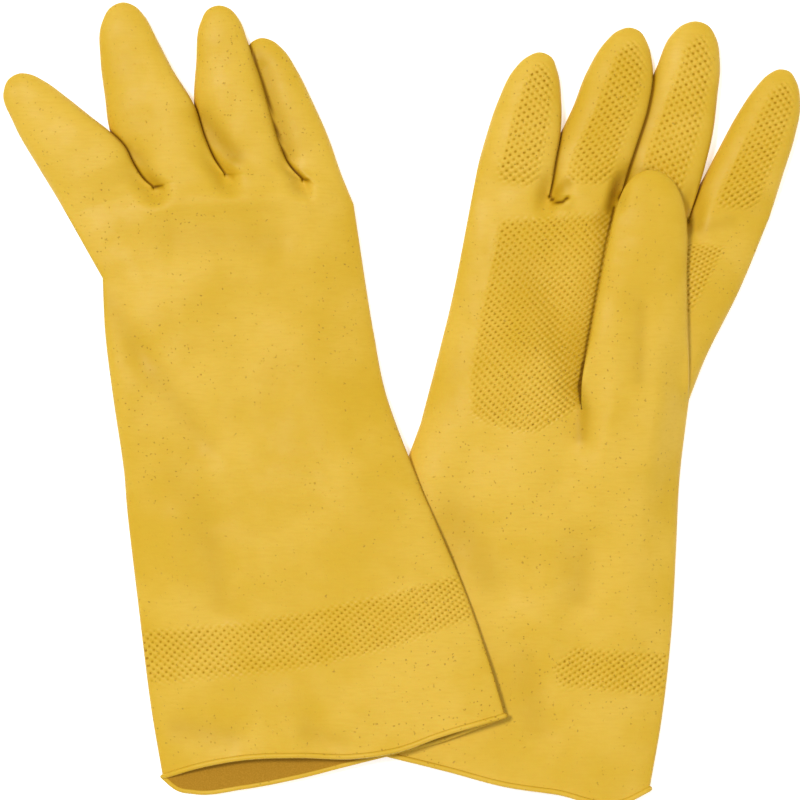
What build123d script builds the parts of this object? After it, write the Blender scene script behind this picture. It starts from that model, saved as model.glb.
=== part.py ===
from build123d import *
import math
import os

# A pair of household rubber gloves laid flat, one partly over the other. Both are right-hand gloves
# from one mould. The lower glove lies palm up, with its thumb folded over the palm. The upper glove
# lies back up, with its thumb folded under the palm, and its cuff rests on the lower glove's cuff.
#
# Each glove is a latex shell with a rolled bead round its mouth and a cotton flock lining. The skin
# is parted where it bends: cuff, hand and five digits are stiff enough to hold their shape, and a
# flex zone joins each digit, and the cuff, to the hand.
#
# +Y runs towards the fingertips and +Z is up. Undersides are flat and the pair stands on Z = 0.
# Every cross-section is a flat-bottomed arch between a left and a right corner.

# Driving dimensions, in mm
LATEX_WALL = 0.5
FLOCK_WALL = 0.3
GLUE_FILM = 0.02
FINGER_HEIGHT = 10.5
SMALL_FINGER_HEIGHT = 8.5
FINGER_FLEX = 7.0        # half the length of a finger's flex zone
THUMB_FLEX = 7.5
ROOT_REACH = 14.0        # how far a digit runs back into the hand
BEAD_LENGTH = 2.0
BEAD_BULGE = 0.7
BEAD_STEPS = 5
LINING_SETBACK = 4.0     # the flock stops this far inside the mouth
OPEN_END = 1.0           # how far a hollow is cut past an open end
TIP_SHARES = (0.35, 0.6, 0.8, 0.94)
OUTLINE_CENTRE = (0.391, 0.457)   # middle of the pair's outline in the coordinates below

FINGERS = ("index", "middle", "ring", "little")

# Each trunk runs from the mouth to the roots of the fingers: mouth, cuff, the two ends of the wrist's
# flex zone, palm, and the end of the hand. Each station is left corner, right corner, height.
LOWER_TRUNK = [
    ((-33.0, -131.0, 0.9), (97.0, -151.5, 0.9), 8.5),
    ((-23.0, -98.0, 0.3), (104.5, -102.0, 0.3), 8.5),
    ((-7.0, -54.0, 0.0), (107.0, -54.0, 0.0), 11.0),
    ((-1.0, -36.0, 0.0), (108.0, -36.0, 0.0), 12.5),
    ((10.5, 0.0, 0.0), (112.0, 0.0, 0.0), 14.0),
    ((20.5, 42.0, 0.0), (129.5, 38.0, 0.0), 14.0),
    ((28.5, 80.0, 0.0), (142.5, 68.0, 0.0), 12.0),
]
UPPER_TRUNK = [
    ((-90.0, -150.0, 1.2), (40.5, -121.5, 12.0), 10.0),
    ((-99.0, -101.0, 0.3), (34.0, -95.0, 10.5), 10.5),
    ((-104.5, -54.0, 3.5), (17.0, -54.0, 9.5), 11.5),
    ((-106.0, -36.0, 6.5), (9.0, -36.0, 8.0), 12.0),
    ((-108.0, 0.0, 10.0), (-5.0, 0.0, 3.0), 12.0),
    ((-112.0, 42.0, 10.0), (-13.0, 42.0, 1.5), 12.0),
    ((-130.0, 75.0, 8.5), (-19.0, 84.0, 0.3), 11.0),
]
CUFF_STATIONS = 3        # of a trunk's stations, those that the cuff has

# Each thumb runs from inside the hand to its tip.
LOWER_THUMB = [
    ((76.0, -32.0, 1.0), (107.0, -32.0, 1.0), 9.5),
    ((71.0, -8.0, 9.0), (111.0, -8.0, 4.0), 10.5),
    ((70.5, 7.0, 15.4), (111.5, 7.0, 8.9), 9.5),
    ((80.0, 62.0, 14.2), (110.5, 62.0, 11.6), 9.5),
    ((84.5, 88.5, 13.4), (110.5, 88.5, 12.4), 9.5),
]
UPPER_THUMB = [
    ((-105.0, -30.0, 7.0), (-70.0, -30.0, 6.0), 8.0),
    ((-110.0, -10.0, 1.5), (-72.0, -10.0, 1.5), 8.0),
    ((-112.0, 4.0, 0.1), (-76.0, 4.0, 0.1), 7.8),
    ((-112.0, 36.0, 0.1), (-81.0, 36.0, 0.1), 7.8),
    ((-109.0, 62.0, 0.1), (-83.0, 62.0, 0.1), 7.5),
]

# Each finger: middle of its root, tip, width at both, underside height at both, height, hinge reach.
LOWER_FINGERS = {
    "index": ((127.0, 68.3), (147.9, 128.4), (28.5, 21.5), (0.0, 0.0), FINGER_HEIGHT, 22.0),
    "middle": ((100.7, 77.4), (115.3, 147.0), (27.0, 22.5), (0.0, 0.0), FINGER_HEIGHT, 24.0),
    "ring": ((73.4, 82.0), (88.4, 144.6), (27.5, 22.0), (0.0, 0.0), FINGER_HEIGHT, 20.0),
    "little": ((43.7, 84.0), (53.4, 135.0), (28.5, 20.5), (0.0, 0.0), FINGER_HEIGHT, 20.0),
}
UPPER_FINGERS = {
    "index": ((-110.0, 73.2), (-150.4, 126.2), (28.0, 21.0), (6.8, 0.2), FINGER_HEIGHT, 25.0),
    "middle": ((-87.4, 84.7), (-109.0, 154.2), (28.0, 22.0), (5.2, 0.2), FINGER_HEIGHT, 24.0),
    "ring": ((-61.5, 87.0), (-70.5, 153.2), (27.0, 20.5), (3.4, 0.2), FINGER_HEIGHT, 22.0),
    "little": ((-32.3, 88.0), (-51.7, 140.5), (17.0, 12.0), (1.3, 0.2), SMALL_FINGER_HEIGHT, 21.0),
}
LOWER_THUMB_HINGE = 48.0      # distance of a thumb's hinge from the thumb's first station
UPPER_THUMB_HINGE = 50.0


def placed(stations):
    """Turn a table of corners into stations about the middle of the pair's outline."""
    shift = Vector(*OUTLINE_CENTRE, 0)
    return [(Vector(*left) - shift, Vector(*right) - shift, height) for left, right, height in stations]


def middle_of(station):
    """The point midway between a station's corners."""
    left, right, _ = station
    return (left + right) / 2


def heading(station):
    """The level direction in which the limb runs on through a station."""
    left, right, _ = station
    across = right - left
    return Vector(-across.Y, across.X, 0).normalized()


def finger_line(root, tip, widths, floors, height, _):
    """Stations of a finger: inside the hand, at its root and at its tip."""
    along = Vector(tip[0] - root[0], tip[1] - root[1], 0)
    side = Vector(along.Y, -along.X, 0).normalized() / 2
    start = Vector(*root, floors[0]) - along.normalized() * ROOT_REACH
    ends = ((start, widths[0]), (Vector(*root, floors[0]), widths[0]), (Vector(*tip, floors[1]), widths[1]))
    return placed([(tuple(point - side * width), tuple(point + side * width), height) for point, width in ends])


def between(first, second, share):
    """The station a share of the way from one station to another."""
    return tuple(a + (b - a) * share for a, b in zip(first, second))


def gap(first, second):
    """Level distance between two stations' middles."""
    step = middle_of(second) - middle_of(first)
    return math.hypot(step.X, step.Y)


def length(stations):
    """Level length of a limb."""
    return sum(gap(first, second) for first, second in zip(stations, stations[1:]))


def at(stations, reach):
    """The station at a distance along a limb."""
    for first, second in zip(stations, stations[1:]):
        step = gap(first, second)
        if reach <= step:
            return between(first, second, reach / step)
        reach -= step
    return stations[-1]


def stretch(stations, start, end):
    """The part of a limb between two distances along it."""
    inside = []
    reach = 0.0
    for first, second in zip(stations, stations[1:]):
        reach += gap(first, second)
        if start + 1 < reach < end - 1:
            inside.append(second)
    return [at(stations, start)] + inside + [at(stations, end)]


def narrowed(station, share):
    """A station scaled about its middle."""
    left, right, height = station
    centre = middle_of(station)
    return (centre + (left - centre) * share, centre + (right - centre) * share, height * share)


def to_the_tip(stations, start):
    """The end of a digit, from a distance along it to a rounded tip."""
    whole = length(stations)
    left, right, _ = stations[-1]
    radius = (right - left).length / 2
    straight = stretch(stations, start, whole - radius)
    shares = ((share, math.sqrt(1 - share**2)) for share in TIP_SHARES)
    return straight + [narrowed(at(stations, whole - radius * (1 - share)), size) for share, size in shares]


def arch(station, inset, shift=0.0):
    """Face of a station's flat-bottomed arch, drawn in by inset and moved along the limb by shift."""
    left, right, height = station
    half = (right - left).length / 2
    radius = (half**2 + height**2) / (2 * height)
    floor_below = inset - (height - radius)
    corner = math.sqrt((radius - inset) ** 2 - floor_below**2)
    ahead = heading(station)
    plane = Plane(origin=middle_of(station) + ahead * shift, x_dir=right - left, z_dir=-ahead)
    base = Line((-corner, inset), (corner, inset))
    top = ThreePointArc((corner, inset), (0, height - inset), (-corner, inset))
    return plane * make_face([base, top])


def skin(stations, inset, end_shift=0.0):
    """Solid through a run of stations, its far end moved along the limb."""
    shifts = [0.0] * (len(stations) - 1) + [end_shift]
    return loft([arch(station, inset, shift) for station, shift in zip(stations, shifts)], ruled=True)


def opened(stations, start=False, end=False):
    """The same run of stations, carried on in line past an open end."""
    run = list(stations)
    if start:
        run[0] = between(stations[0], stations[1], -OPEN_END / gap(stations[0], stations[1]))
    if end:
        run[-1] = between(stations[-1], stations[-2], -OPEN_END / gap(stations[-1], stations[-2]))
    return run


def tube(stations, outer, inner):
    """A wall open at both ends."""
    return skin(stations, outer) - skin(opened(stations, start=True, end=True), inner)


def finger_stall(stations, outer, inner):
    """A wall open at its root and closed at its tip."""
    return skin(stations, outer, -outer) - skin(opened(stations, start=True), inner, -inner)


def palm(trunk, roots, outer, inner):
    """The hand: open at the wrist and into every digit's root, closed between the fingers."""
    solid = skin(trunk, outer, -outer)
    hollow = skin(opened(trunk, start=True), inner, -inner)
    for root in roots:
        solid += skin(root, outer)
        hollow += skin(opened(root, end=True), inner)
    return solid - hollow


def mouth_bead(mouth):
    """The rolled rim round a mouth: a ring that swells at mid length."""
    turns = [math.pi * step / BEAD_STEPS for step in range(BEAD_STEPS + 1)]
    steps = [(-BEAD_LENGTH * (1 + math.cos(turn)) / 2, -BEAD_BULGE * math.sin(turn)) for turn in turns]
    rim = loft([arch(mouth, inset, shift) for shift, inset in steps], ruled=True)
    ends = (-BEAD_LENGTH - OPEN_END, OPEN_END)
    return rim - loft([arch(mouth, LATEX_WALL, shift) for shift in ends], ruled=True)


def lay_out(side):
    """Trunk, digit lines, hinge distances and flex lengths of one glove."""
    lower = side == "lower"
    fingers = LOWER_FINGERS if lower else UPPER_FINGERS
    digits = {name: finger_line(*fingers[name]) for name in FINGERS}
    hinges = {name: ROOT_REACH + fingers[name][-1] for name in FINGERS}
    flexes = {name: FINGER_FLEX for name in FINGERS}
    digits["thumb"] = placed(LOWER_THUMB if lower else UPPER_THUMB)
    hinges["thumb"] = LOWER_THUMB_HINGE if lower else UPPER_THUMB_HINGE
    flexes["thumb"] = THUMB_FLEX
    trunk = placed(LOWER_TRUNK if lower else UPPER_TRUNK)
    return trunk, digits, hinges, flexes


def glove(side):
    """Every piece of one glove, by name."""
    trunk, digits, hinges, flexes = lay_out(side)
    cuff = trunk[:CUFF_STATIONS]
    wrist = trunk[CUFF_STATIONS - 1:CUFF_STATIONS + 1]
    hand = trunk[CUFF_STATIONS:]
    lining_outer = LATEX_WALL + GLUE_FILM
    lining_inner = lining_outer + FLOCK_WALL
    lined_cuff = stretch(cuff, LINING_SETBACK, length(cuff))
    roots = [stretch(line, 0.0, hinges[name] - flexes[name]) for name, line in digits.items()]
    pieces = {
        "cuff_shell": tube(cuff, 0.0, LATEX_WALL),
        "cuff_bead": mouth_bead(cuff[0]),
        "cuff_lining": tube(lined_cuff, lining_outer, lining_inner),
        "wrist_flex": tube(wrist, 0.0, LATEX_WALL),
        "hand_shell": palm(hand, roots, 0.0, LATEX_WALL),
        "hand_lining": palm(hand, roots, lining_outer, lining_inner),
    }
    for name, line in digits.items():
        hinge, flex = hinges[name], flexes[name]
        stall = to_the_tip(line, hinge + flex)
        pieces[name + "_flex"] = tube(stretch(line, hinge - flex, hinge + flex), 0.0, LATEX_WALL)
        pieces[name + "_shell"] = finger_stall(stall, 0.0, LATEX_WALL)
        pieces[name + "_lining"] = finger_stall(stall, lining_outer, lining_inner)
    return pieces


def main():
    """Write every piece of both gloves."""
    os.makedirs("parts", exist_ok=True)
    for side in ("lower", "upper"):
        for name, solid in glove(side).items():
            export_step(solid, f"parts/{side}_{name}.step")


if __name__ == "__main__":
    main()
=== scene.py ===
import math

import bpy
import numpy as np
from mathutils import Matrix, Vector


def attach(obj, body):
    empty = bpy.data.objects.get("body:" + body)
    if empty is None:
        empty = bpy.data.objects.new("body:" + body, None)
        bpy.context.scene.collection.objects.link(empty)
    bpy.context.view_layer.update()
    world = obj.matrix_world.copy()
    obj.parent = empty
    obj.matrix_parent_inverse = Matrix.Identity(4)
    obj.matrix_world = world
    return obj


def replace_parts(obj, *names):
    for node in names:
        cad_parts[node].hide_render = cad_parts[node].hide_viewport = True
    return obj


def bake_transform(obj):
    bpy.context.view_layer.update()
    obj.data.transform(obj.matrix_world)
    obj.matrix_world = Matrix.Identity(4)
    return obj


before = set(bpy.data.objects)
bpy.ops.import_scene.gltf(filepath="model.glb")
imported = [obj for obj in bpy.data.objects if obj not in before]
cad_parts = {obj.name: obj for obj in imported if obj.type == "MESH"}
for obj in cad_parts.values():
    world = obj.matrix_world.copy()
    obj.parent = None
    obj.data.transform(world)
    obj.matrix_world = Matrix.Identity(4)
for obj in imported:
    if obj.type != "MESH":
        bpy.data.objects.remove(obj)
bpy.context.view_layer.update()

# Two right-hand household gloves. The lower one lies palm up, the upper one back up with its cuff
# across the lower cuff. Each glove is a palm sheet and a back sheet that share an outline. At the
# knuckles they part into four finger tubes, and the thumb leaves the palm sheet at its root.
#
# Plan points are in the CAD layout's millimetres and heights are above the table. Across a glove,
# 0 is the little finger's side and 1 the index finger's; "station" counts the outline's rows.
MM = 0.001
LAYOUT_CENTRE = np.array([0.391, 0.457])    # the frame's origin in the layout

FINGERS = ("little", "ring", "middle", "index")
DIGITS = FINGERS + ("thumb",)
FINGER_COLUMNS = 60
COLUMNS = FINGER_COLUMNS * len(FINGERS)
THUMB_COLUMN = 142          # the palm's column that runs into the thumb's crotch
THUMB_STATION = 5           # where the thumb leaves the palm
KNUCKLES = 8                # the last station
WRIST_SEAM = 4              # where the hand's pieces meet the cuff's
MOUTH_STATIONS = 0.8        # how far the bow of the mouth's edge is felt up the cuff
LINED_STATION = 2.6         # how far up the cuff the lining is made
SWELL_STATIONS = (2.2, 0.7)  # where the thumb's swelling starts, and how soon it ends past the root
SWELL_LEFT = (0.56, 0.16)   # across the hand: where the swelling starts, and how soon it is full
SWELL_RIGHT = 0.14          # and over how much of the index finger's side it ends
WEB_SHARE = 0.3             # share of the thumb's root over which the web loses the swelling
PINCH = 0.3                 # stations over which the sheets draw together between the fingers
PINCH_WIDTH = 4.2
ROUNDNESS = 2.4             # of every profile: higher is flatter in the middle
FULL = 0.55                 # profile power of a full tube
TRUNK_BELOW = 0.5           # and of the sheets under the trunk and the thumb
THUMB_BELOW = 0.62
FINGER_ABOVE = (0.5, 0.42)  # by a finger's root: at its overlapped edge and at its overlapping one
FINGER_BELOW = (0.6, 1.5)
SETTLE_SHARE = 0.22         # share of a digit's length over which it takes up its own plan and height
THUMB_SETTLE = (0.3, 0.1)   # the same for the height of the thumb's outer and inner sheet
EDGE_SETTLE = 0.14          # the same for the height of a finger's edges
EDGE_POWER = 6              # how closely the edges' own height keeps to the edges
TIP_SETTLE = (0.35, 0.5)    # where a finger's edges start towards the tip's height, and how soon
FINE_STEP = 0.42            # row spacing where there are grip pips
COARSE_STEP = 1.5
THUMB_STEP = 0.8            # row spacing of the thumb, which has none
EDGE_STEP = 0.25            # spacing of the points on a digit's edges
PLAIN_STRIDE = 4            # a plain sheet keeps one column in this many
CLOSE_COLUMNS = 8           # and all of them this close to a finger's edges
THUMB_STRIDE = 2            # and the thumb's inner sheet one in this many
LIP_STRIDE = 8              # of an edge's points, one in this many is used to measure from it
LIP_SHADE = [(0.9, 0.62), (3.4, 0.26)]  # width and darkness of the shade beside a finger's lip
DARKEST = 0.85              # where painted shades add up
SOFT_PAINTED_SHADE = (2, 0.2)      # painted shade wider than this, and at least as dark, is painted on the thumb too
TABLE_GAP = 0.3             # lowest height of a sheet before the pips are raised
TABLE_CLEARANCE = 0.05      # lowest height of the finished skin and of the bead
WALL = 0.75                 # from the cuff's skin to its lining
BEAD_RADIUS = 1.05
BEAD_SIDES = 10
DIGIT_REACH = 12

GLOVES = {
    "lower": {
        "palm_side": 1,
        # Stations from mouth to knuckles: little finger's side, then index finger's side.
        "outline": [
            ((-33, -131), (97, -151)), ((-26, -108), (102, -122)), ((-17, -80), (105.5, -90)),
            ((-7, -54), (107.3, -58)), ((-1, -34), (108.7, -30)), ((8, -9), (112.3, 0)),
            ((15, 18), (119.5, 18)), ((21, 43), (132, 43)), ((28.5, 82), (143.5, 71)),
        ],
        "corners": (5,),
        "crotches": [(58, 79), (86, 80), (112, 70)],
        # Per station: height of the two edges, rise of the upper sheet, fall of the lower sheet.
        "heights": [
            (2.2, 2.2, 6.0, 1.2), (2, 2, 6.2, 1.4), (2, 2, 6.8, 1.5), (2, 2, 8.0, 1.5),
            (2, 2, 9.4, 1.5), (2, 2, 10.6, 1.5), (2, 2, 10.4, 1.5), (2.2, 2.2, 9.6, 1.8),
            (3, 3, 6.2, 2.5),
        ],
        # How far each sheet's edge bows out past the straight line across the mouth.
        "palm_mouth": [(0, 0), (0.25, 2.1), (0.39, 3.7), (0.58, 6.3), (0.72, 6.2), (0.93, 6), (1, 0)],
        "back_mouth": [(0, 0), (0.25, 1.2), (0.39, 2.6), (0.58, 4.9), (0.72, 4.8), (0.93, 4.4), (1, 0)],
        "fingers": {
            "little": [(30.5, 92), (33, 101), (38, 116), (44, 128), (49, 133), (54.5, 135), (58.6, 133.3),
                       (61, 128), (62.6, 116), (62.3, 104), (60.3, 92)],
            "ring": [(56.5, 89), (58.5, 96), (63, 105), (67, 113.5), (72.3, 127), (79.7, 139), (84, 143),
                     (89, 144.6), (93.3, 143), (96, 138.5), (98.2, 128), (96.3, 113), (92.3, 100),
                     (89, 90)],
            "middle": [(85.5, 90), (88, 101), (94, 116), (99.5, 129), (105, 141.3), (109.5, 145.5),
                       (115, 147), (119.6, 145.4), (122.7, 140.5), (124.2, 131), (123, 117),
                       (121.2, 103), (118.6, 92)],
            "index": [(115.2, 81), (118.8, 88), (124, 98), (131, 111), (138, 121.3), (142.7, 126.2),
                      (147.3, 128.4), (151.3, 127.5), (153.9, 123.5), (155.4, 115), (153.2, 102),
                      (149, 88.5)],
        },
        # Height of the little finger's side, the index finger's side and the tip, then rise and fall.
        "finger_heights": {
            "little": (2.6, 5.6, 3.6, 5.4, 3.0), "ring": (2.4, 5.6, 3.6, 5.6, 3.0),
            "middle": (2.2, 5.6, 3.6, 5.6, 3.0), "index": (2.0, 3.8, 3.6, 5.6, 3.0),
        },
        "thumb": [(69.8, 6), (72.5, 22), (76.2, 42), (80, 61), (84, 76.5), (87, 82.8), (91, 87),
                  (96.3, 88.6), (101.6, 87.3), (106, 83.2), (109, 76.5), (110.7, 65), (110.6, 50),
                  (111, 30), (111.8, 12)],
        # Height of the thumb's two edges at shares of its length, after its root.
        "thumb_heights": [
            (0.05, 13.8, 5.4), (0.1, 14.6, 7.4), (0.3, 15.4, 11.4), (0.6, 15.2, 12.6), (1, 14.8, 14.2),
        ],
        # Rise of the thumb's outer sheet and depth of its inner one, then the palm's swelling.
        "thumb_rise": (5.6, 1.4),
        "thumb_swell": 5.6,
        # Soft folds of the visible sheet: from, to, width, height.
        "folds": [
            ((67, 4), (70, -16), 4.5, -1.4), ((92.5, 38), (91.5, 6), 6, -1.2),
            ((71, -58), (69.5, -78), 9, -1.8), ((30, -20), (16, -60), 9, -2.2),
            ((34, -50), (42, -74), 8, -1.4), ((46, -98), (54, -128), 9, -1.6),
            ((92, -30), (89, -92), 9, 1.6), ((50, 24), (48, -34), 14, 1.6),
            ((60, -50), (57, -94), 8, 1.3), ((57, 75), (65, 76.5), 1.8, 1.2),
            ((58.5, 81.5), (64.5, 81.5), 2.4, -2.4), ((85, 81), (83, 74), 2.4, -2.2),
            ((60, 40), (66, 6), 7, -2.0), ((36, 68), (84, 66), 7, -1.1),
            ((113, 71), (115, 62), 3.2, -1.6),
        ],
        # Painted shade on the visible sheet: narrow lines are painted shadow in slits and crotches, wide
        # ones soft painted shadow. Points, width, darkness.
        "painted_shades": [
            ([(70.1, -1), (69.5, 6), (72.0, 22), (75.7, 42), (79.4, 61), (83, 75)], 0.7, 0.5),
            ([(70.1, -1), (69.5, 6), (70.5, 14)], 0.8, 0.3),
            ([(69, 4), (70.5, -4), (69.5, -14)], 3.4, 0.34), ([(68, 10), (73, 42), (79, 68)], 6, 0.16),
            ([(58, 79), (59.5, 77), (62.4, 76.2), (65, 78.4)], 0.8, 0.8),
            ([(60, 80), (64.5, 84)], 2.8, 0.35), ([(86, 80.5), (85, 78)], 0.9, 0.6),
            ([(84, 78), (78, 70)], 4, 0.25), ([(112, 70.5), (112.1, 68.5)], 0.9, 0.7),
            ([(114, 66), (128, 69)], 3.4, 0.2), ([(92.5, 36), (91.6, 8)], 3.4, 0.2),
            ([(71, -60), (69.5, -76)], 6, 0.2), ([(20, -44), (34, -68)], 9, 0.2),
            ([(48, -100), (53, -126)], 7, 0.18), ([(44, 56), (66, 14)], 12, 0.13),
        ],
    },
    "upper": {
        "palm_side": -1,
        "outline": [
            ((40.5, -121.5), (-92.2, -146.2)), ((34.5, -101), (-97, -118)), ((25.2, -74), (-101.6, -80)),
            ((13, -45), (-105.5, -45)), ((7, -31), (-107, -26)), ((-5, 1), (-110.6, 0)),
            ((-10.2, 26), (-113.7, 25)), ((-13.5, 46), (-114.8, 47)), ((-18, 76), (-128.5, 71)),
        ],
        "corners": (7,),
        "crotches": [(-38, 85.5), (-68, 87.5), (-95.5, 82.3)],
        "heights": [
            (12.4, 2.4, 5.2, 1.2), (11.6, 1.8, 5.8, 1.0), (10.8, 3.0, 6.4, 0.8), (9.8, 5.6, 6.8, 0.6),
            (8.8, 7.6, 6.8, 0.6), (4.4, 10.4, 6.8, 0.6), (2.6, 10.8, 6.6, 0.6), (2.6, 10.4, 6.2, 0.8),
            (3.2, 8.2, 4.8, 2.6),
        ],
        "palm_mouth": [(0, 0), (0.06, 1.6), (0.2, 5.2), (0.35, 6.8), (0.46, 7.8), (0.61, 9.3), (0.78, 9.6),
                       (0.92, 8.0), (0.97, 5.0), (1, 0)],
        "back_mouth": [(0, 0), (0.2, 2.7), (0.31, 5.2), (0.46, 4.6), (0.61, 0.4), (0.78, -2.2), (0.9, -1.8),
                       (1, 0)],
        "fingers": {
            "little": [(-22.5, 87), (-28, 102.5), (-34, 116), (-40, 128), (-46, 136.8), (-49.6, 139.6),
                       (-54, 140.6), (-57.6, 139), (-60, 134), (-58.5, 121), (-54, 107), (-47, 94.5)],
            "ring": [(-43, 91), (-47, 100.5), (-50.3, 112), (-54.3, 126), (-59, 139), (-62.5, 147.8),
                     (-66, 151.9), (-70.3, 153.2), (-74.7, 151.6), (-77.5, 146.5), (-79.2, 131),
                     (-80, 115), (-78, 101)],
            "middle": [(-71.8, 93), (-75.5, 101.5), (-79.6, 114), (-88, 128), (-94.3, 140),
                       (-99.4, 149.3), (-103, 153), (-107.5, 154.4), (-112.4, 152.4), (-115.9, 146),
                       (-116.3, 132), (-114.6, 118), (-112.6, 104.5), (-108.6, 95), (-103, 87.5)],
            "index": [(-98.8, 85), (-102.6, 90.5), (-106.4, 98), (-112.4, 104), (-120, 110),
                      (-130, 118), (-138, 123.8), (-143.3, 126.4), (-147.8, 126.8), (-152.2, 124.2),
                      (-154, 119), (-150, 107.5), (-140, 90), (-133, 78.5)],
        },
        "finger_heights": {
            "little": (2.2, 2.2, 3.0, 4.6, 2.0), "ring": (5.6, 2.8, 3.4, 5.2, 2.6),
            "middle": (6.8, 3.8, 3.4, 5.2, 2.6), "index": (8.2, 5.8, 3.6, 5.2, 2.8),
        },
        "thumb": [(-69.5, 14), (-74, 30), (-80, 47), (-87.5, 58), (-96, 62.3), (-104.5, 58), (-109.5, 45),
                  (-111.5, 28), (-111.6, 12)],
        "thumb_heights": [(0.2, 5.2, 5.2), (0.6, 4.4, 4.6), (1, 3.8, 3.8)],
        "thumb_rise": (3.4, 2.2),
        "thumb_swell": 5.0,
        "folds": [
            ((-110, 20), (-104, -42), 5.5, 0.9), ((-114, 46), (-100, 17), 5, -1.2),
            ((-100, 17), (-77, -16), 8, -2.2), ((-77, -16), (-66, -40), 11, -1.3),
            ((-88, -48), (-85, -88), 8, 1.4), ((-73, -50), (-69, -82), 9, -1.6),
            ((-96, 76), (-28, 79), 5, 1.2), ((-86, 63), (-48, 61), 9, -1.8),
            ((-103, 97), (-94.5, 85), 3.6, -1.4), ((-77, 112), (-66, 93), 5, -1.6),
            ((-53, 128), (-43, 94), 3.6, -1.2), ((-34, 24), (-16, -50), 12, 1.3),
            ((-62, 30), (-52, -20), 11, -1.0), ((-84, -126), (-64, -130), 7, -1.5),
            ((-44, -118), (-42, -134), 8, 1.2), ((-32, -126), (-26, -132), 6, -1.2),
            ((0, -60), (14, -100), 10, 1.0), ((-45, -50), (-30, -80), 12, -1.0),
        ],
        # Painted shade on the visible sheet, as for the lower glove: points, width, darkness.
        "painted_shades": [
            ([(-95.6, 82.3), (-91.5, 82.6)], 0.9, 0.7),
            ([(-68, 87.5), (-64.5, 86.6)], 0.9, 0.6), ([(-38, 85.6), (-35.5, 85.2)], 0.9, 0.6),
            ([(-102, 95), (-95, 85)], 3, 0.3), ([(-77, 110), (-64, 94)], 4.2, 0.42),
            ([(-56, 134), (-44, 94)], 3, 0.26), ([(-51, 130), (-41, 98)], 6, 0.16),
            ([(-112, 38), (-100, 17), (-84, -4), (-74, -18)], 5.5, 0.17),
            ([(-88, 63), (-48, 61)], 8, 0.16), ([(-73, -56), (-69, -78)], 6, 0.17),
            ([(-86, -127), (-66, -130)], 6, 0.2), ([(-36, -128), (-22, -131)], 5, 0.18),
            ([(-88, -30), (-76, -46)], 9, 0.1), ([(-50, 20), (-44, -20)], 14, 0.06),
        ],
    },
}

# Grip pips: rows of raised lozenges, each row set half a pitch on from the last, the same mould on
# both gloves. The outlines of the patches are (across, station) on the palm and the back, and
# (from root, side to side) on the fingers.
HAND_PIPS = (3.2, 1.3)      # spacing along a row, and between rows
FINGER_PIPS = (3.5, 1.6)
PIP_RELIEF = 0.46
PATCH_EDGE = 0.9            # how soft a patch's outline is
PATCH_MARGIN = 1.5          # over which the relief fades at the glove's own edge
PALM_PATCHES = [
    [(0.105, 7.72), (0.3, 7.78), (0.48, 7.78), (0.72, 7.7), (0.894, 7.6), (0.87, 6.68), (0.75, 6.0),
     (0.62, 5.3), (0.565, 4.98), (0.51, 4.86), (0.45, 4.72), (0.364, 4.78), (0.25, 4.92), (0.184, 5.08),
     (0.139, 5.65), (0.113, 6.68), (0.107, 7.44)],
    [(0.68, 1.22), (1.02, 1.23), (1.02, 1.74), (0.70, 1.72), (0.645, 1.46)],
]
BACK_PATCHES = [
    [(-0.02, 2.24), (0.26, 2.0), (0.5, 1.84), (0.71, 1.76), (1.02, 1.74), (1.02, 1.23), (0.8, 1.23),
     (0.53, 1.23), (0.28, 1.35), (-0.02, 1.67)],
]
FINGER_PATCH = [
    (0.06, -0.3), (0.1, -0.46), (0.5, -0.42), (0.78, -0.3), (0.87, 0.1), (0.85, 0.45), (0.75, 0.68),
    (0.5, 0.64), (0.1, 0.6), (0.05, 0.4),
]
FINE_SPANS = [(1.15, 2.3), (4.65, 7.85)]    # stations between which there are pips


def smooth(x):
    """Smoothstep from 0 to 1."""
    x = np.clip(x, 0, 1)
    return x * x * (3 - 2 * x)


def spline(knots, values, at, corners=()):
    """Smooth curve through the values at the knots, which may turn sharply at the corners."""
    knots = np.asarray(knots, float)
    values = np.asarray(values, float).reshape(len(knots), -1)
    step = np.diff(knots)[:, None]
    secant = np.diff(values, axis=0) / step
    leaving = np.concatenate([secant, secant[-1:]])
    leaving[1:-1] = (secant[:-1] * step[1:] + secant[1:] * step[:-1]) / (step[1:] + step[:-1])
    arriving = leaving.copy()
    for corner in corners:
        arriving[corner], leaving[corner] = secant[corner - 1], secant[corner]
    at = np.asarray(at, float)
    k = np.clip(np.searchsorted(knots, at, side="right") - 1, 0, len(knots) - 2)
    h = step[k]
    x = ((at - knots[k]) / h[:, 0])[:, None]
    return (
        values[k] * (1 + 2 * x) * (1 - x) ** 2 + leaving[k] * h * x * (1 - x) ** 2
        + values[k + 1] * x**2 * (3 - 2 * x) + arriving[k + 1] * h * x**2 * (x - 1)
    )


def run_along(points):
    """Distance run along a line of points, at each of them."""
    return np.concatenate([[0], np.cumsum(np.linalg.norm(np.diff(points, axis=0), axis=1))])


def shares_of(curve, shares):
    """Points at shares of a curve's length."""
    run = run_along(curve)
    return np.stack([np.interp(shares * run[-1], run, curve[:, i]) for i in range(2)], axis=1)


def inside(outline, x, y):
    """Which points lie inside a polygon."""
    hit = np.zeros(np.shape(x), bool)
    for (x0, y0), (x1, y1) in zip(outline, outline[1:] + outline[:1]):
        if y0 != y1:
            hit ^= ((y0 > y) != (y1 > y)) & (x < (x1 - x0) * (y - y0) / (y1 - y0) + x0)
    return hit


def arch(across, power, power_index=None):
    """Profile of a pressed tube from -1 to 1 across it: a low power is full, a high one thin."""
    if power_index is not None:
        power = power + (power_index - power) * (across + 1) / 2
    return np.clip(1 - np.abs(across) ** ROUNDNESS, 0, 1) ** power


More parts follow.
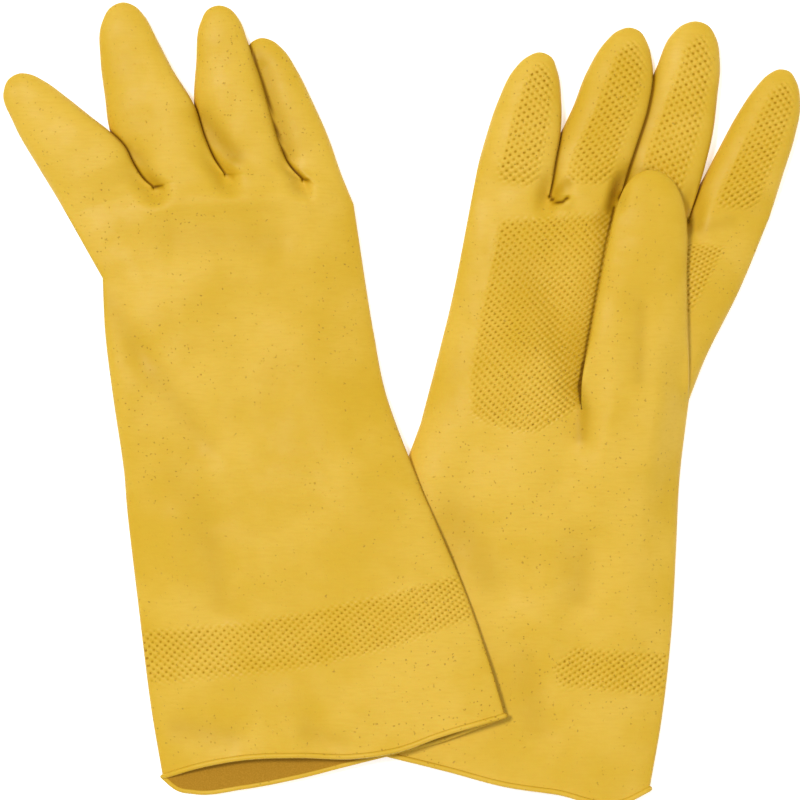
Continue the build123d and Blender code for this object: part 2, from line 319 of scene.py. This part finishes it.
def grip_relief(a, b, pitch_and_row, chosen):
    """Relief of the pips inside the chosen region, from -1 in the gaps to 1 on the pips."""
    pitch, row = pitch_and_row
    shifts = [(x * PATCH_EDGE, y * PATCH_EDGE) for x in (-1, 0, 1) for y in (-1, 0, 1)]
    share = np.mean([chosen(a + x, b + y) for x, y in shifts], axis=0)
    return share * np.cos(2 * math.pi * a / pitch) * np.cos(math.pi * b / row)


class Skin:
    """One glove's surface: points, pip heights, painted shade, and faces under the name of their piece."""

    def __init__(self):
        self.points, self.grip, self.painted_shade, self.sheets = [], [], [], []
        self.count = 0

    def add(self, grid, grip=0.0, painted_shade=0.0):
        """Adds a grid of points with their relief and painted shade, and returns their numbers."""
        size = grid.shape[0] * grid.shape[1]
        ids = np.arange(self.count, self.count + size).reshape(grid.shape[:2])
        self.points.append(grid.reshape(-1, 3))
        self.grip.append(np.broadcast_to(grip, grid.shape[:2]).reshape(-1))
        self.painted_shade.append(np.broadcast_to(painted_shade, grid.shape[:2]).reshape(-1))
        self.count += size
        return ids

    def sheet(self, ids, flip, piece, kept=slice(None)):
        """Faces between the rows and the kept columns of a grid of point numbers."""
        self.sheets.append((ids[:, ::-1] if flip else ids, piece, kept))

    def weld(self):
        """Joins the sheets where their points meet, then raises the pips along the normals."""
        points, grip = np.concatenate(self.points), np.concatenate(self.grip)
        rounded = np.round(points, 3)
        _, first, number = np.unique(rounded, axis=0, return_index=True, return_inverse=True)
        number = number.reshape(-1)
        self.sheets = [(number[ids], piece, kept) for ids, piece, kept in self.sheets]
        self.points, self.grip = points[first], grip[first]
        painted_shades = np.concatenate(self.painted_shade)
        self.painted_shade = np.zeros(len(first))
        np.maximum.at(self.painted_shade, number, painted_shades)
        self.points = self.points + self.normals() * (self.grip * PIP_RELIEF)[:, None]
        self.points[:, 2] = np.maximum(self.points[:, 2], TABLE_CLEARANCE)
        self.number = number

    def normals(self):
        """Normals of the welded points, from the faces round each."""
        total = np.zeros_like(self.points)
        for ids, _, _ in self.sheets:
            faces = quads(ids)
            corner = self.points[faces]
            cross = np.cross(corner[:, 2] - corner[:, 0], corner[:, 3] - corner[:, 1])
            for k in range(4):
                np.add.at(total, faces[:, k], cross)
        return total / np.maximum(np.linalg.norm(total, axis=1), 1e-12)[:, None]


def plain_columns(count):
    """Columns that a plain sheet keeps: every few, and every one near the fingers' edges."""
    column = np.arange(count)
    edge = np.abs((column + FINGER_COLUMNS // 2) % FINGER_COLUMNS - FINGER_COLUMNS // 2)
    return column[(column % PLAIN_STRIDE == 0) | (edge <= CLOSE_COLUMNS)]


def quads(ids):
    """Faces between the rows and columns of a grid of point numbers."""
    corners = [ids[:-1, :-1], ids[:-1, 1:], ids[1:, 1:], ids[1:, :-1]]
    return np.stack(corners, axis=-1).reshape(-1, 4)


def station_rows(glove):
    """Stations of the mesh rows, closer where there are pips, and the distance run to each."""
    middle = np.array(glove["outline"], float).mean(axis=1)
    dense = np.linspace(0, KNUCKLES, 4001)
    run = run_along(spline(np.arange(KNUCKLES + 1), middle, dense))
    span_ends = {edge for span in FINE_SPANS for edge in span}
    rows = [0.0]
    for mark in sorted({*range(1, KNUCKLES + 1), *span_ends}):
        start, end = np.interp([rows[-1], mark], dense, run)
        fine = any(low <= (rows[-1] + mark) / 2 <= high for low, high in FINE_SPANS)
        count = max(1, round((end - start) / (FINE_STEP if fine else COARSE_STEP)))
        rows.extend(np.interp(np.linspace(start, end, count + 1)[1:-1], run, dense))
        rows.append(float(mark))
    return np.array(rows), np.interp(rows, dense, run)


def first_row(rows, station):
    """The first row at a station or past it."""
    return int(np.searchsorted(rows, station - 1e-6))


def trunk_plan(glove, rows, v, mouth):
    """Plan of a sheet of the hand and cuff, and the width of each row."""
    outline = np.array(glove["outline"], float)
    knots = np.arange(KNUCKLES + 1)
    little = spline(knots, outline[:, 0], rows, glove["corners"])
    index = spline(knots, outline[:, 1], rows, glove["corners"])
    start, end = outline[-1]
    across = end - start
    ahead = np.array([-across[1], across[0]]) * glove["palm_side"] / np.linalg.norm(across)
    marks = np.array([start, *glove["crotches"], end], float) - start
    quarters = np.linspace(0, 1, len(marks))
    share = np.interp(v, quarters, marks @ across / (across @ across))
    bow = np.interp(v, quarters, marks @ ahead)
    warp = v + (share - v) * smooth((rows - THUMB_STATION) / (KNUCKLES - THUMB_STATION))[:, None]
    plan = little[:, None] + (index - little)[:, None] * warp[..., None]
    plan += (bow * smooth(rows - KNUCKLES + 1)[:, None])[..., None] * ahead
    edge = outline[0, 1] - outline[0, 0]
    outward = np.array([edge[1], -edge[0]]) * glove["palm_side"] / np.linalg.norm(edge)
    bulge = spline(*zip(*mouth), v)[:, 0]
    plan += (bulge * smooth(1 - rows / MOUTH_STATIONS)[:, None])[..., None] * outward
    return plan, np.linalg.norm(index - little, axis=1)


def folded(plan, folds):
    """Height of the soft folds at plan points."""
    height = np.zeros(plan.shape[:2])
    for start, end, width, rise in folds:
        start, line = np.array(start, float), np.subtract(end, start).astype(float)
        along = ((plan - start) @ line) / (line @ line)
        away = np.linalg.norm(plan - start - np.clip(along, 0, 1)[..., None] * line, axis=-1)
        height += rise * np.exp(-((away / width) ** 2))
    return height


def distance(plan, line):
    """Distance of plan points from a line of points."""
    nearest = np.full(plan.shape[:2], np.inf)
    for start, end in zip(line[:-1], line[1:]):
        span = np.subtract(end, start).astype(float)
        along = np.clip(((plan - start) @ span) / (span @ span), 0, 1)
        nearest = np.minimum(nearest, np.linalg.norm(plan - start - along[..., None] * span, axis=-1))
    return nearest


def painted_shade_at(plan, painted_shades):
    """Painted shade at plan points, from the listed lines of painted shadow."""
    dark = [
        darkness * np.exp(-((distance(plan, line) / width) ** 2)) for line, width, darkness in painted_shades
    ]
    return np.clip(sum(dark), 0, DARKEST)


def patch_grip(patches, v, rows, run, width):
    """Relief of the palm's or the back's grip patches."""
    wide = width[:, None]

    def chosen(a, b):
        station = np.interp(b, run, rows)
        return np.any([inside(patch, a / wide + 0.5, station) for patch in patches], axis=0)

    a = (v - 0.5) * wide
    edge = smooth((wide / 2 - np.abs(a)) / PATCH_MARGIN)
    return edge * grip_relief(a, run[:, None] + 0 * a, HAND_PIPS, chosen)


def between_fingers(rows, v, width):
    """How far the sheets stand apart: 1, and 0 where they are drawn together at the crotches."""
    pinch = smooth((rows - KNUCKLES + PINCH) / PINCH)[:, None]
    parted = np.ones((len(rows), COLUMNS + 1))
    for k in range(1, len(FINGERS)):
        away = (v - k / len(FINGERS)) * width[:, None] / PINCH_WIDTH
        parted *= 1 - pinch * np.exp(-(away**2))
    return parted


def thumb_swelling(glove, rows, v, root, palm_z):
    """The palm's heights up to the thumb's root and past it: it swells where the thumb leaves it."""
    start, past = SWELL_STATIONS
    left, left_width = SWELL_LEFT
    swell = glove["palm_side"] * glove["thumb_swell"]
    swell = swell * smooth((v - left) / left_width) * smooth((1 - v) / SWELL_RIGHT)
    # The web under the thumb keeps the palm's own height.
    web = np.clip((v - THUMB_COLUMN / COLUMNS) / (1 - THUMB_COLUMN / COLUMNS), 0, 1)
    kept = 1 - smooth(web / WEB_SHARE)
    before = smooth((rows[:root + 1] - start) / (THUMB_STATION - start))[:, None]
    after = 1 - smooth((rows[root:] - THUMB_STATION) / past)[:, None]
    wrist_z = np.maximum(palm_z[:root + 1] + swell * before, TABLE_GAP)
    hand_z = np.maximum(palm_z[root:] + swell * kept * after, TABLE_GAP)
    return wrist_z, hand_z


def build_trunk(skin, side):
    """Adds the hand and cuff, and returns what the fingers, the thumb and the mouth start from."""
    glove = GLOVES[side]
    up = glove["palm_side"]
    rows, run = station_rows(glove)
    v = np.linspace(0, 1, COLUMNS + 1)
    little, index, rise, fall = spline(np.arange(KNUCKLES + 1), glove["heights"], rows).T[:, :, None]
    line = little + (index - little) * v
    palm, width = trunk_plan(glove, rows, v, glove["palm_mouth"])
    back, _ = trunk_plan(glove, rows, v, glove["back_mouth"])
    parted = between_fingers(rows, v, width)
    shape = arch(2 * v - 1, FULL) * parted
    upper = line + rise * shape + folded(palm if up > 0 else back, glove["folds"]) * shape
    lower = np.maximum(line - fall * (arch(2 * v - 1, TRUNK_BELOW) * parted), TABLE_GAP)
    palm_z, back_z = (upper, lower) if up > 0 else (lower, upper)
    root, seam, lined = (first_row(rows, at) for at in (THUMB_STATION, WRIST_SEAM, LINED_STATION))
    wrist_z, hand_z = thumb_swelling(glove, rows, v, root, palm_z)

    palm_grip = patch_grip(PALM_PATCHES, v, rows, run, width)
    back_grip = patch_grip(BACK_PATCHES, v, rows, run, width)
    # Painted shade goes on the sheet that faces up.
    palm_painted_shade = painted_shade_at(palm, glove["painted_shades"]) * (up > 0)
    back_painted_shade = painted_shade_at(back, glove["painted_shades"]) * (up < 0)
    upto = slice(root + 1)
    wrist = skin.add(np.dstack([palm[upto], wrist_z]), palm_grip[upto], palm_painted_shade[upto])
    hand = skin.add(np.dstack([palm[root:], hand_z]), palm_grip[root:], palm_painted_shade[root:])
    whole_back = skin.add(np.dstack([back, back_z]), back_grip, back_painted_shade)
    skin.sheet(wrist[:seam + 1], False, "cuff")
    skin.sheet(wrist[seam:], False, "palm")
    skin.sheet(hand, False, "palm")
    skin.sheet(whole_back[:seam + 1], True, "cuff")
    skin.sheet(whole_back[seam:], True, "back", plain_columns(COLUMNS + 1))
    mouth = np.concatenate([wrist[0], whole_back[0, -2:0:-1]])
    return {
        "palm_root": np.dstack([palm[-1:], hand_z[-1:]])[0],
        "back_root": np.dstack([back[-1:], back_z[-1:]])[0],
        "thumb_root": np.dstack([palm[root:root + 1], wrist_z[-1:]])[0, THUMB_COLUMN:],
        "web": np.dstack([palm[root:root + 1], hand_z[:1]])[0, THUMB_COLUMN:],
        "mouth": mouth,
        "cuff_inside": (wrist[:lined], whole_back[:lined]),
    }


def digit_edges(points):
    """The little finger's side and the index finger's side of a digit, both from root to tip."""
    points = np.array(points, float)
    knots = run_along(points)
    curve = spline(knots, points, np.linspace(0, knots[-1], int(knots[-1] / EDGE_STEP)))
    tip = np.argmax(np.linalg.norm(curve - (points[0] + points[-1]) / 2, axis=1))
    return curve[:tip + 1], curve[tip:][::-1]


def digit_plan(edges, root, shares):
    """Plan of a digit's sheet, which starts on the root's points, and the width of each row."""
    start, end = shares_of(edges[0], shares), shares_of(edges[1], shares)
    across = np.linspace(0, 1, len(root))
    plan = start[:, None] + (end - start)[:, None] * across[:, None]
    plan += (1 - smooth(shares / SETTLE_SHARE))[:, None, None] * (root[:, :2] - plan[0])
    return plan, np.linalg.norm(end - start, axis=1)


def settled(root, line, height, shares, by=SETTLE_SHARE):
    """Heights of a digit's sheet: they start from the root's, and only the edges leave them at once."""
    own = smooth(shares / by)[:, None]
    edge = np.abs(np.linspace(-1, 1, len(root))) ** EDGE_POWER
    inner = root[:, 2] + (height - root[:, 2]) * own
    return np.maximum(inner + (line - line[0]) * edge * (1 - own), TABLE_GAP)


def lip_shade(plan, lip):
    """Painted shade beside the lip of the finger that lies over this one: the shadow that the lip casts."""
    if lip is None:
        return np.zeros(plan.shape[:2])
    away = distance(plan, lip[::LIP_STRIDE])
    return sum(darkness * np.exp(-((away / width) ** 2)) for width, darkness in LIP_SHADE)


def finger_line(heights, root, shares):
    """Height of the middle between a finger's sheets, and how far each row is on to the tip."""
    little, index, tip = heights
    start, length = TIP_SETTLE
    early = smooth(shares / EDGE_SETTLE)[:, None]
    late = smooth((shares - start) / length)[:, None]
    left = root[0, 2] + (little - root[0, 2]) * early
    right = root[-1, 2] + (index - root[-1, 2]) * early
    left, right = left + (tip - left) * late, right + (tip - right) * late
    across = np.linspace(-1, 1, len(root))
    return left + (right - left) * (across + 1) / 2, late


def build_finger(skin, side, name, palm_root, back_root, lip):
    """Adds a finger, which may lie under the lip of the finger beside it, and returns its edges."""
    glove = GLOVES[side]
    up = glove["palm_side"]
    outline = [palm_root[0, :2], *glove["fingers"][name], palm_root[-1, :2]]
    edges = digit_edges(outline)
    length = max(run_along(edge)[-1] for edge in edges)
    shares = np.linspace(0, 1, int(length / FINE_STEP) + 1)
    plan, width = digit_plan(edges, palm_root, shares)
    back_plan, _ = digit_plan(edges, back_root, shares)
    little, index, tip, rise, fall = glove["finger_heights"][name]
    line, late = finger_line((little, index, tip), palm_root, shares)
    e = np.linspace(-1, 1, FINGER_COLUMNS + 1)
    size = np.clip(width / np.interp(0.5, shares, width), 0, 1)[:, None]
    # The edge that lies over the next finger is thin below. Towards the tip both edges are full.
    above, below = (
        arch(e, *(FULL + (power - FULL) * (1 - late) for power in powers[::up]))
        for powers in (FINGER_ABOVE, FINGER_BELOW)
    )
    high = line + rise * size * above + folded(plan if up > 0 else back_plan, glove["folds"]) * above
    low = np.maximum(line - fall * size * below, TABLE_GAP)
    palm_z, back_z = (high, low) if up > 0 else (low, high)
    half = np.maximum(width[:, None] / 2, 1e-6)

    def chosen(a, b):
        return inside(FINGER_PATCH, b / length, a / half)

    grip = grip_relief(e * half, (shares * length)[:, None] + 0 * e, FINGER_PIPS, chosen)
    # Painted shade: the lip's cast shadow and the listed painted shades, on the sheet that faces up.
    shade = np.maximum(lip_shade(plan, lip), painted_shade_at(plan, glove["painted_shades"]))
    palm = skin.add(np.dstack([plan, settled(palm_root, line, palm_z, shares)]), grip, shade * (up > 0))
    back = skin.add(np.dstack([back_plan, settled(back_root, line, back_z, shares)]), 0, shade * (up < 0))
    skin.sheet(palm, False, name)
    skin.sheet(back, True, name, plain_columns(FINGER_COLUMNS + 1))
    return edges


def build_thumb(skin, side, root, web):
    """Adds the thumb, from its root in the palm and the web under it, and returns its edges."""
    glove = GLOVES[side]
    up = glove["palm_side"]
    edges = digit_edges([root[0, :2], *glove["thumb"], root[-1, :2]])
    length = max(run_along(edge)[-1] for edge in edges)
    shares = np.linspace(0, 1, int(length / THUMB_STEP) + 1)
    outer_plan, width = digit_plan(edges, root, shares)
    inner_plan, _ = digit_plan(edges, web, shares)
    knots, *_ = zip(*glove["thumb_heights"])
    ends = [(root[0, 2], root[-1, 2]), *(pair[1:] for pair in glove["thumb_heights"])]
    edge_z = spline((0, *knots), ends, shares)
    e = np.linspace(-1, 1, len(root))
    line = edge_z[:, :1] + (edge_z[:, 1:] - edge_z[:, :1]) * (e + 1) / 2
    size = np.clip(width / np.interp(0.5, shares, width), 0, 1)[:, None]
    out, back = glove["thumb_rise"]
    fold = folded(outer_plan, glove["folds"]) if up > 0 else 0
    outer_z = np.maximum(line + (up * out * size + fold) * arch(e, FULL), TABLE_GAP)
    inner_z = np.maximum(line - up * back * size * arch(e, THUMB_BELOW), TABLE_GAP)
    # The narrow painted shade lines stop at the thumb, which lies over them; the wide soft painted shade
    # goes on over it.
    narrowest, faintest = SOFT_PAINTED_SHADE
    soft = [
        (points, width, darkness) for points, width, darkness in glove["painted_shades"]
        if width > narrowest and darkness >= faintest
    ]
    shade = painted_shade_at(outer_plan, soft) * (up > 0)
    outer_by, inner_by = THUMB_SETTLE
    outer = skin.add(np.dstack([outer_plan, settled(root, line, outer_z, shares, outer_by)]), 0, shade)
    inner = skin.add(np.dstack([inner_plan, settled(web, line, inner_z, shares, inner_by)]))
    skin.sheet(outer, False, "thumb")
    skin.sheet(inner, True, "thumb", slice(None, None, THUMB_STRIDE))
    return edges


def in_frame(points):
    """Layout points in millimetres as frame points in metres."""
    return (points - np.array([*LAYOUT_CENTRE, 0])) * MM


def mesh_piece(name, points, normals, faces, material, slot, **marks):
    """A smooth mesh of the faces, with its own copy of the points that they use."""
    used, local = np.unique(faces, return_inverse=True)
    loops = [list(dict.fromkeys(face)) for face in local.reshape(faces.shape).tolist()]
    mesh = bpy.data.meshes.new(name)
    mesh.from_pydata(in_frame(points[used]).tolist(), [], [loop for loop in loops if len(loop) > 2])
    mesh.polygons.foreach_set("use_smooth", np.ones(len(mesh.polygons), bool))
    mesh.normals_split_custom_set_from_vertices(normals[used].tolist())
    for mark, values in marks.items():
        attribute = mesh.attributes.new(mark, "FLOAT", "POINT")
        attribute.data.foreach_set("value", np.clip(values[used], 0, 1).astype(np.float32))
    mesh.materials.append(material)
    obj = bpy.data.objects.new(name, mesh)
    bpy.context.scene.collection.objects.link(obj)
    return obj or obj


def swept_bead(path, outward, radius, name, material):
    """A round bead along a closed line of points."""
    tangent = np.roll(path, -1, axis=0) - np.roll(path, 1, axis=0)
    tangent /= np.linalg.norm(tangent, axis=1)[:, None]
    side = np.cross(tangent, outward)
    side /= np.linalg.norm(side, axis=1)[:, None]
    front = np.cross(side, tangent)
    angles = np.linspace(0, 2 * math.pi, BEAD_SIDES + 1)[:-1]
    normals = side[:, None] * np.sin(angles)[:, None] + front[:, None] * np.cos(angles)[:, None]
    points = (path[:, None] + normals * radius).reshape(-1, 3)
    ids = np.arange(len(points)).reshape(len(path), BEAD_SIDES)
    ids = np.concatenate([ids, ids[:1]])
    ids = np.concatenate([ids, ids[:, :1]], axis=1)
    return mesh_piece(name, points, normals.reshape(-1, 3), quads(ids), material, "latex")


class Nodes:
    """Shorthands for a material's node tree."""

    def __init__(self, name):
        self.material = bpy.data.materials.new(name)
        self.material.use_nodes = True
        self.tree = self.material.node_tree
        self.shader = self.tree.nodes["Principled BSDF"]
        self.place = self.add("ShaderNodeTexCoord").outputs["Object"]

    def add(self, kind, inputs=None, **settings):
        node = self.tree.nodes.new(kind)
        for key, value in settings.items():
            setattr(node, key, value)
        for key, value in (inputs or {}).items():
            if isinstance(value, bpy.types.NodeSocket):
                self.tree.links.new(value, node.inputs[key])
            else:
                node.inputs[key].default_value = value
        return node

    def noise(self, scale, detail=2.0, vector=None):
        settings = {"Vector": vector or self.place, "Scale": scale, "Detail": detail}
        return self.add("ShaderNodeTexNoise", settings).outputs["Fac"]

    def ramp(self, value, low, high, to_low=0.0, to_high=1.0):
        ends = {"Value": value, "From Min": low, "From Max": high, "To Min": to_low, "To Max": to_high}
        return self.add("ShaderNodeMapRange", ends, interpolation_type="SMOOTHSTEP").outputs["Result"]

    def maths(self, operation, a, b):
        return self.add("ShaderNodeMath", {0: a, 1: b}, operation=operation).outputs["Value"]

    def mix(self, factor, a, b):
        node = self.add("ShaderNodeMix", data_type="RGBA")
        for index, value in ((0, factor), (6, a), (7, b)):
            if isinstance(value, bpy.types.NodeSocket):
                self.tree.links.new(value, node.inputs[index])
            else:
                node.inputs[index].default_value = value
        return node.outputs[2]

    def set(self, **inputs):
        for key, value in inputs.items():
            socket = self.shader.inputs[key.replace("_", " ")]
            if isinstance(value, bpy.types.NodeSocket):
                self.tree.links.new(value, socket)
            else:
                socket.default_value = value


def specks(n, scale, size, chosen):
    """Small scattered marks: one in some cells of a pattern, as 1 where there is a mark."""
    wander = n.add("ShaderNodeTexNoise", {"Vector": n.place, "Scale": scale * 1.7}).outputs["Color"]
    bent = n.add("ShaderNodeVectorMath", {0: wander, "Scale": 0.9 / scale}, operation="SCALE")
    bent = bent.outputs["Vector"]
    moved = n.add("ShaderNodeVectorMath", {0: n.place, 1: bent}).outputs["Vector"]
    cell = n.add("ShaderNodeTexVoronoi", {"Vector": moved, "Scale": scale})
    lottery = n.add("ShaderNodeSeparateColor", {"Color": cell.outputs["Color"]}).outputs["Red"]
    mark = n.ramp(cell.outputs["Distance"], size, size * 0.4)
    return n.maths("MULTIPLY", mark, n.maths("GREATER_THAN", lottery, 1 - chosen))


def latex():
    """Natural rubber: deep yellow, faintly blotched and streaked, with fine dark specks and pits, and with
    painted shade between the grip pips and along the painted_shade mark.
    """
    n = Nodes("latex_yellow")
    cloud = n.ramp(n.noise(32, 4), 0.36, 0.66)
    colour = n.mix(cloud, (0.615, 0.378, 0.016, 1), (0.668, 0.425, 0.038, 1))
    stretch = n.add("ShaderNodeVectorMath", {0: n.place, 1: (1, 7, 3)}, operation="MULTIPLY")
    streak = n.ramp(n.noise(170, 3, stretch.outputs["Vector"]), 0.4, 0.7)
    colour = n.mix(n.maths("MULTIPLY", streak, 0.22), colour, (0.57, 0.33, 0.012, 1))
    # Painted shade in the hollows between the grip pips, made uneven by noise.
    gap = n.add("ShaderNodeAttribute", attribute_name="gap").outputs["Fac"]
    gap_shade_strength = n.ramp(n.noise(260, 2), 0.3, 0.66, 0.5, 1.0)
    colour = n.mix(n.maths("MULTIPLY", n.ramp(gap, 0.12, 1.0), gap_shade_strength), colour, (0.34, 0.175, 0.004, 1))
    # Painted shade from the skin's mark: a deep golden tone for soft painted shadow, dark brown for the
    # painted shadow lines in slits.
    painted_shade = n.add("ShaderNodeAttribute", attribute_name="painted_shade").outputs["Fac"]
    colour = n.mix(n.ramp(painted_shade, 0.0, 0.45), colour, (0.50, 0.287, 0.005, 1))
    colour = n.mix(n.ramp(painted_shade, 0.35, 0.8, 0.0, 0.9), colour, (0.15, 0.062, 0.002, 1))
    crowd = n.ramp(n.noise(24, 2), 0.38, 0.62, 0.2, 1.0)
    fine = n.maths("MULTIPLY", specks(n, 620, 0.24, 0.4), crowd)
    dots = n.maths("MAXIMUM", fine, n.maths("MULTIPLY", specks(n, 260, 0.13, 0.3), 0.8))
    colour = n.mix(n.maths("MULTIPLY", dots, 0.6), colour, (0.26, 0.12, 0.010, 1))
    n.set(Base_Color=colour, Roughness=n.ramp(n.noise(120, 3), 0.3, 0.7, 0.5, 0.62))
    n.set(Subsurface_Weight=0.1, Subsurface_Radius=(1.0, 0.45, 0.08), Subsurface_Scale=0.002)
    # Less specular where shade is painted.
    n.set(Specular_IOR_Level=n.ramp(n.maths("MAXIMUM", gap, painted_shade), 0.1, 0.9, 0.3, 0.03))
    grain = n.add("ShaderNodeBump", {"Strength": 0.3, "Distance": 0.00015, "Height": n.noise(800, 3)})
    pits = n.add("ShaderNodeBump", {"Strength": 0.6, "Distance": 0.0002, "Height": dots}, invert=True)
    n.tree.links.new(grain.outputs["Normal"], pits.inputs["Normal"])
    n.set(Normal=pits.outputs["Normal"])
    return n.material


def flock():
    """The cotton flock inside: duller and softer than the rubber."""
    n = Nodes("flock_lining")
    pile = n.noise(2200, 3)
    colour = n.mix(n.ramp(pile, 0.35, 0.7), (0.36, 0.18, 0.012, 1), (0.43, 0.22, 0.02, 1))
    n.set(Base_Color=colour, Roughness=0.95, Specular_IOR_Level=0.1, Sheen_Weight=0.1)
    bump = n.add("ShaderNodeBump", {"Strength": 0.5, "Distance": 0.0003, "Height": pile})
    n.set(Normal=bump.outputs["Normal"])
    return n.material


def build_mouth_bead(side, skin, trunk, rubber):
    """The rolled bead round a glove's mouth, clear of the table."""
    rim = np.array(GLOVES[side]["outline"][0], float)
    across = (rim[1] - rim[0]) * GLOVES[side]["palm_side"]
    outward = np.array([across[1], -across[0], 0]) / np.linalg.norm(across)
    mouth = skin.points[skin.number[trunk["mouth"]]]
    mouth[:, 2] = np.maximum(mouth[:, 2], BEAD_RADIUS + TABLE_CLEARANCE)
    return swept_bead(mouth, outward, BEAD_RADIUS, f"{side}_mouth_bead", rubber)


def build_cuff_inside(side, skin, normals, trunk, lining):
    """The flocked inside of a cuff, one wall's thickness inside its skin."""
    palm_ids, back_ids = (skin.number[ids] for ids in trunk["cuff_inside"])
    faces = np.concatenate([quads(palm_ids[:, ::-1]), quads(back_ids)])
    points = skin.points - normals * WALL
    return mesh_piece(f"{side}_cuff_inside", points, -normals, faces, lining, "flock_lining")


def build_glove(side, rubber, lining):
    """One glove. The palm, back and mouth bead ride on their CAD bodies; the cuff, digits and cuff lining
    stay where they are built.
    """
    skin = Skin()
    trunk = build_trunk(skin, side)
    edges = {}
    # A finger lies over the one built after it, whose sheet gets painted shadow along that lip. The upper
    # glove is turned over, so its fingers lie the other way round.
    over = GLOVES[side]["palm_side"]
    lip = None
    for name in FINGERS[::over]:
        k = FINGERS.index(name)
        span = slice(k * FINGER_COLUMNS, (k + 1) * FINGER_COLUMNS + 1)
        roots = trunk["palm_root"][span], trunk["back_root"][span]
        edges[name] = build_finger(skin, side, name, *roots, lip)
        lip = edges[name][1 if over > 0 else 0]
    edges["thumb"] = build_thumb(skin, side, trunk["thumb_root"], trunk["web"])
    skin.weld()
    normals = skin.normals()

    def skin_piece(part):
        sheets = [quads(ids[:, kept]) for ids, piece, kept in skin.sheets if piece == part]
        # Marks that say where the material paints shade: in the hollows between the pips and along the
        # painted shade lines.
        marks = {"gap": -skin.grip, "painted_shade": skin.painted_shade}
        name = f"{side}_{part}_skin"
        return mesh_piece(name, skin.points, normals, np.concatenate(sheets), rubber, "latex", **marks)

    hand_body, cuff_body = f"{side}_hand", f"{side}_cuff"
    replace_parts(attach(skin_piece("palm"), hand_body), f"{side}_hand_shell", f"{side}_hand_lining")
    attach(skin_piece("back"), hand_body)

    cuff = skin_piece("cuff")
    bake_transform(cuff)
    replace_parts(cuff, f"{side}_cuff_shell", f"{side}_wrist_flex")

    for name in DIGITS:
        little, index = edges[name]
        ahead = np.array([*((little[-1] + index[-1]) - (little[0] + index[0])), 0])
        ahead *= DIGIT_REACH * MM / np.linalg.norm(ahead)
        digit = skin_piece(name)
        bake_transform(digit)
        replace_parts(digit, f"{side}_{name}_shell", f"{side}_{name}_lining", f"{side}_{name}_flex")

    bead = build_mouth_bead(side, skin, trunk, rubber)
    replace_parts(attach(bead, cuff_body), f"{side}_cuff_bead")

    flocked = build_cuff_inside(side, skin, normals, trunk, lining)
    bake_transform(flocked)
    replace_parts(flocked, f"{side}_cuff_lining")


def area_light(name, place, size, power):
    """A soft square light that faces the middle of the pair."""
    data = bpy.data.lights.new(name, "AREA")
    data.size, data.energy = size, power
    light = bpy.data.objects.new(name, data)
    light.location = place
    light.rotation_euler = (-Vector(place)).to_track_quat("-Z", "Y").to_euler()
    bpy.context.scene.collection.objects.link(light)


def build_world(strength):
    """An even white surround."""
    world = bpy.data.worlds.new("studio")
    world.use_nodes = True
    background = world.node_tree.nodes["Background"]
    background.inputs["Color"].default_value = (1, 1, 1, 1)
    background.inputs["Strength"].default_value = strength
    bpy.context.scene.world = world


def build_floor(half):
    """A plain pale floor, which glows a little so that it stays white."""
    floor_paint = Nodes("floor_white")
    floor_paint.set(Base_Color=(0.95, 0.95, 0.95, 1), Roughness=0.9, Specular_IOR_Level=0.0)
    floor_paint.set(Emission_Color=(1, 1, 1, 1), Emission_Strength=0.45)
    mesh = bpy.data.meshes.new("floor")
    corners = [(-half, -half, 0), (half, -half, 0), (half, half, 0), (-half, half, 0)]
    mesh.from_pydata(corners, [], [(0, 1, 2, 3)])
    mesh.materials.append(floor_paint.material)
    floor = bpy.data.objects.new("floor", mesh)
    bpy.context.scene.collection.objects.link(floor)


def build_camera(height, level, view_width):
    """A camera straight above that sees this width at this level."""
    scene = bpy.context.scene
    data = bpy.data.cameras.new("camera")
    data.lens = data.sensor_width * (height - level) / view_width
    camera = bpy.data.objects.new("camera", data)
    camera.location = (-LAYOUT_CENTRE[0] * MM, -LAYOUT_CENTRE[1] * MM, height)
    scene.collection.objects.link(camera)
    scene.camera = camera


def build_studio():
    """Floor, light and camera, in metres."""
    bpy.context.scene.view_settings.view_transform = "Standard"
    build_world(0.38)
    build_floor(3.0)
    area_light("key", (-1.5, 1.1, 3.9), 0.8, 132)
    area_light("fill", (1.0, -0.6, 1.8), 1.0, 12)
    build_camera(height=1.2, level=0.004, view_width=0.3104)


rubber, lining = latex(), flock()
for side in GLOVES:
    build_glove(side, rubber, lining)
build_studio()
